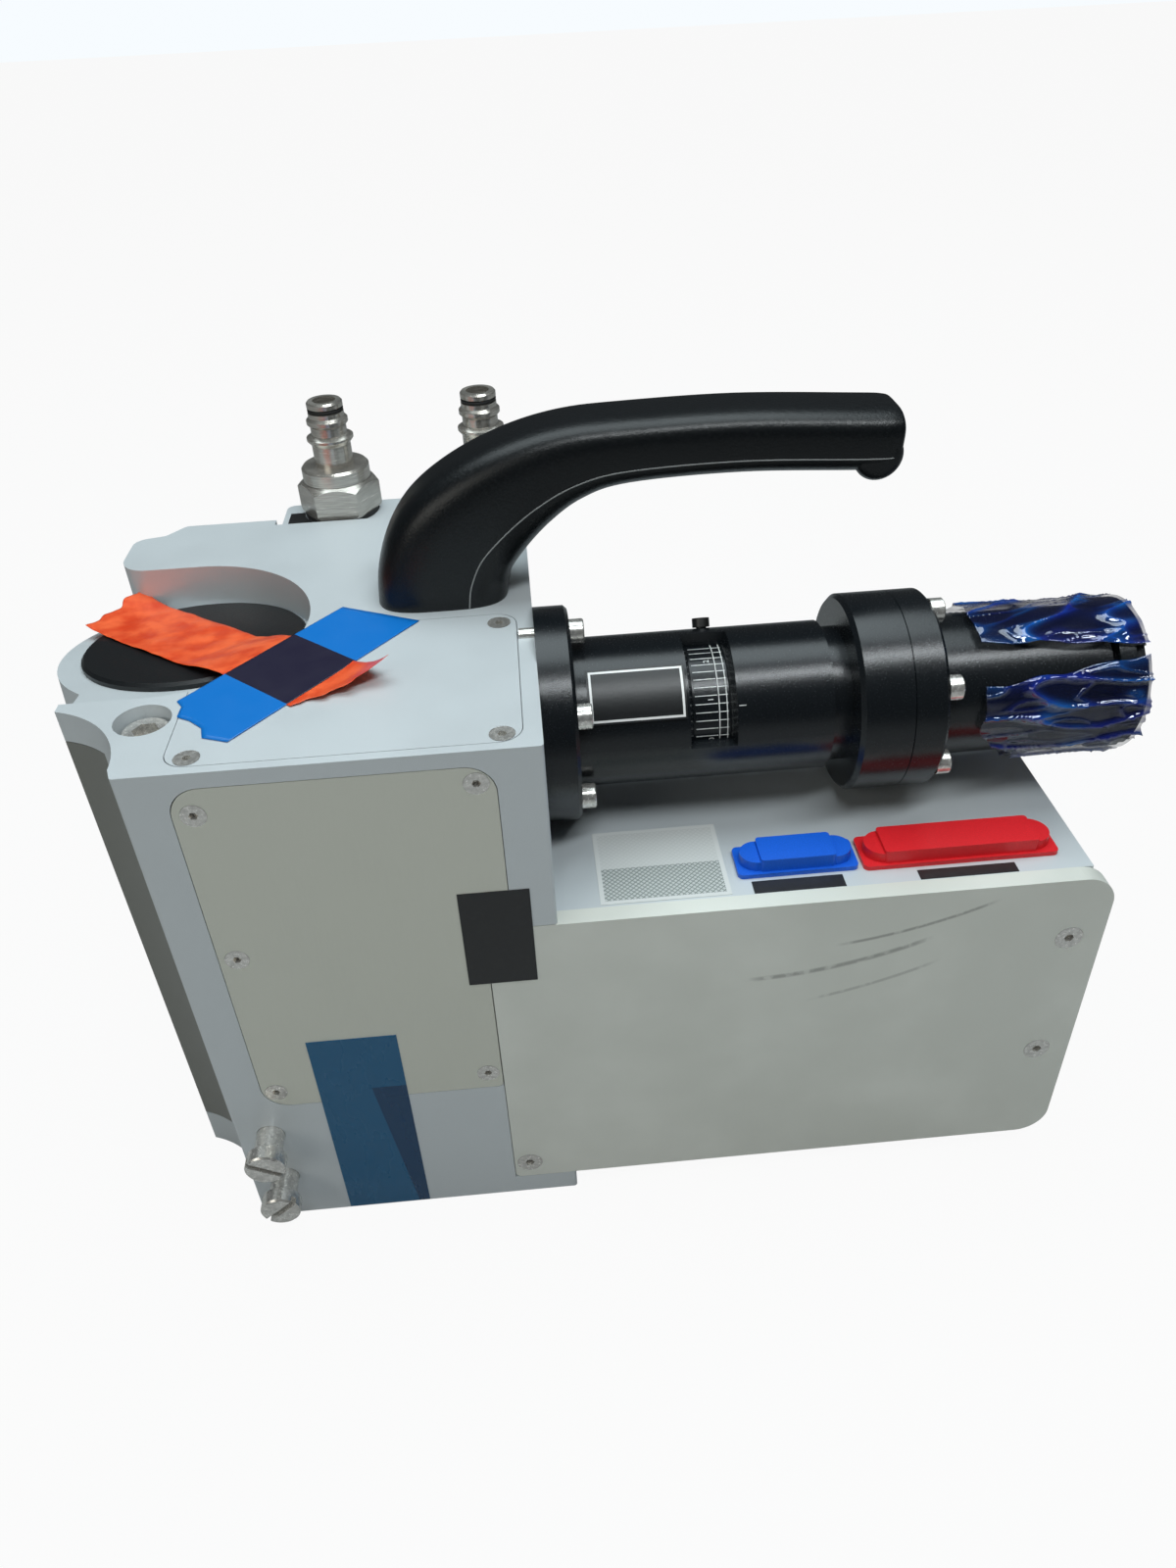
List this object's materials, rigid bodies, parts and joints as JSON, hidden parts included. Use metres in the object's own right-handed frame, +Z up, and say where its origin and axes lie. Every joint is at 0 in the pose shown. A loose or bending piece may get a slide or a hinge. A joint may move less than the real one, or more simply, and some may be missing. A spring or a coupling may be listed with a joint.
{
  "type": "galvo scanner head",
  "caption": "Two-axis laser scan head with beam expander, fibre collimator, water cooling, driver box and carrying handle.",
  "frame": {"origin": "on the standing face, straight under the centre of the beam exit", "axes": "+Z up, +X along the beam expander towards the fibre end, service side with the covers facing -Y"},
  "size_m": [0.3079, 0.1821, 0.2275],
  "materials": {
    "silver_anodised": "clear anodised, fine bead blast, pale blue-grey",
    "cover_anodised": "clear anodised, fine brush, slightly warmer grey",
    "plate_anodised": "clear anodised, with dark scuffs",
    "dark_anodised": "dark satin",
    "screw_steel": "bright stainless",
    "nickel": "nickel plated, fine turning marks",
    "raw_aluminium": "machined",
    "black_anodised": "black anodised, fine bead blast",
    "black_handle": "moulded, fine grain with a faint sheen",
    "black_cap": "satin moulded plastic",
    "black_rubber": "matt",
    "blue_rubber": "satin",
    "red_rubber": "satin",
    "brass_screw": "bright",
    "coated_glass": "polished, coated",
    "scan_mirror": "polished",
    "circuit_board": "solder mask",
    "black_label": "satin foil",
    "silver_label": "foil with a fine guilloche",
    "blue_tape": "translucent film",
    "orange_tape": "translucent film",
    "blue_film": "thin crinkled clear film"
  },
  "bodies": {
    "head": {"housing": "silver_anodised", "front_cover": "cover_anodised", "top_cover": "silver_anodised", "left_cover": "dark_anodised", "cover_screws": "screw_steel", "mounting_screw": "screw_steel", "exit_ring": "black_anodised", "exit_window": "coated_glass", "box_shell": "silver_anodised", "side_plate": "plate_anodised", "back_plate": "plate_anodised", "plate_screws": "screw_steel", "servo_board_x": "circuit_board", "servo_board_y": "circuit_board", "board_posts": "raw_aluminium", "power_socket": "screw_steel", "signal_socket": "screw_steel", "water_block": "silver_anodised", "coupling_in": "nickel", "coupling_out": "nickel", "coupling_seals": "black_rubber", "handle": "black_handle", "handle_screws": "screw_steel", "expander_body": "black_anodised", "flange_screws": "screw_steel", "head_lens": "coated_glass", "tube_retainer": "black_anodised", "clamp_ring": "black_anodised", "centring_ring": "black_anodised", "ring_screws": "screw_steel", "collimator": "black_anodised", "collimator_lens": "coated_glass", "scanner_x_motor": "black_anodised", "scanner_y_motor": "black_anodised", "scanner_block": "raw_aluminium", "type_plate": "black_label", "seal_label": "black_label", "test_label": "silver_label", "socket_labels": "black_label", "block_label": "black_label", "front_tape": "blue_tape"},
    "exit_cover": {"exit_cap": "black_cap", "orange_tape": "orange_tape", "blue_tape": "blue_tape"},
    "scanner_x": {"scanner_x_rotor": "screw_steel", "scanner_x_mirror": "scan_mirror"},
    "scanner_y": {"scanner_y_rotor": "screw_steel", "scanner_y_mirror": "scan_mirror"},
    "scale": {"scale_sleeve": "black_anodised"},
    "focus_lens": {"lens_cell": "black_anodised", "cell_lens": "coated_glass"},
    "lock": {"lock_screw": "brass_screw"},
    "fibre_lock": {"fibre_ring": "black_anodised"},
    "film": {"film_wrap": "blue_film"},
    "power_cover": {"power_cap": "blue_rubber"},
    "signal_cover": {"signal_cap": "red_rubber"},
    "captive_upper": {"captive_screw_upper": "screw_steel"},
    "captive_lower": {"captive_screw_lower": "screw_steel"}
  },
  "joints": [
    {"name": "exit_cap_pull", "type": "slide", "parent": "head", "child": "exit_cover", "axis": [0, 0.1305, 0.9914], "range_m": [0, 0.03]},
    {"name": "scan_x", "type": "hinge", "parent": "head", "child": "scanner_x", "pos_m": [0, -0.0244, 0.1494], "axis": [0, 0, 1], "range_deg": [-12.5, 12.5], "stiffness_Nm_per_rad": 0.002},
    {"name": "scan_y", "type": "hinge", "parent": "head", "child": "scanner_y", "pos_m": [0.012, -0.0026, 0.1494], "axis": [1, 0, 0], "range_deg": [-12.5, 12.5], "stiffness_Nm_per_rad": 0.002},
    {"name": "scale_turn", "type": "hinge", "parent": "head", "child": "scale", "pos_m": [0.1475, -0.0244, 0.1494], "axis": [1, 0, 0], "range_deg": [-120, 120]},
    {"name": "focus_slide", "type": "slide", "parent": "head", "child": "focus_lens", "axis": [1, 0, 0], "range_m": [-0.006, 0.006]},
    {"name": "lock_turn", "type": "hinge", "parent": "head", "child": "lock", "pos_m": [0.1474, -0.01301, 0.16763], "axis": [0, 0.5299, 0.848], "range_deg": [0, 360]},
    {"name": "fibre_lock_turn", "type": "hinge", "parent": "head", "child": "fibre_lock", "pos_m": [0.264, -0.0244, 0.1494], "axis": [1, 0, 0], "range_deg": [0, 40]},
    {"name": "film_pull", "type": "slide", "parent": "head", "child": "film", "axis": [1, 0, 0], "range_m": [0, 0.045]},
    {"name": "power_cap_pull", "type": "slide", "parent": "head", "child": "power_cover", "axis": [0, 0, 1], "range_m": [0, 0.012]},
    {"name": "signal_cap_pull", "type": "slide", "parent": "head", "child": "signal_cover", "axis": [0, 0, 1], "range_m": [0, 0.012]},
    {"name": "captive_upper_press", "type": "slide", "parent": "head", "child": "captive_upper", "axis": [0, 1, 0], "range_m": [0, 0.007]},
    {"name": "captive_lower_press", "type": "slide", "parent": "head", "child": "captive_lower", "axis": [0, 1, 0], "range_m": [0, 0.007]}
  ],
  "couplings": [
    {"joint": "focus_slide", "follows": "scale_turn", "m_per_rad": 0.002865}
  ]
}
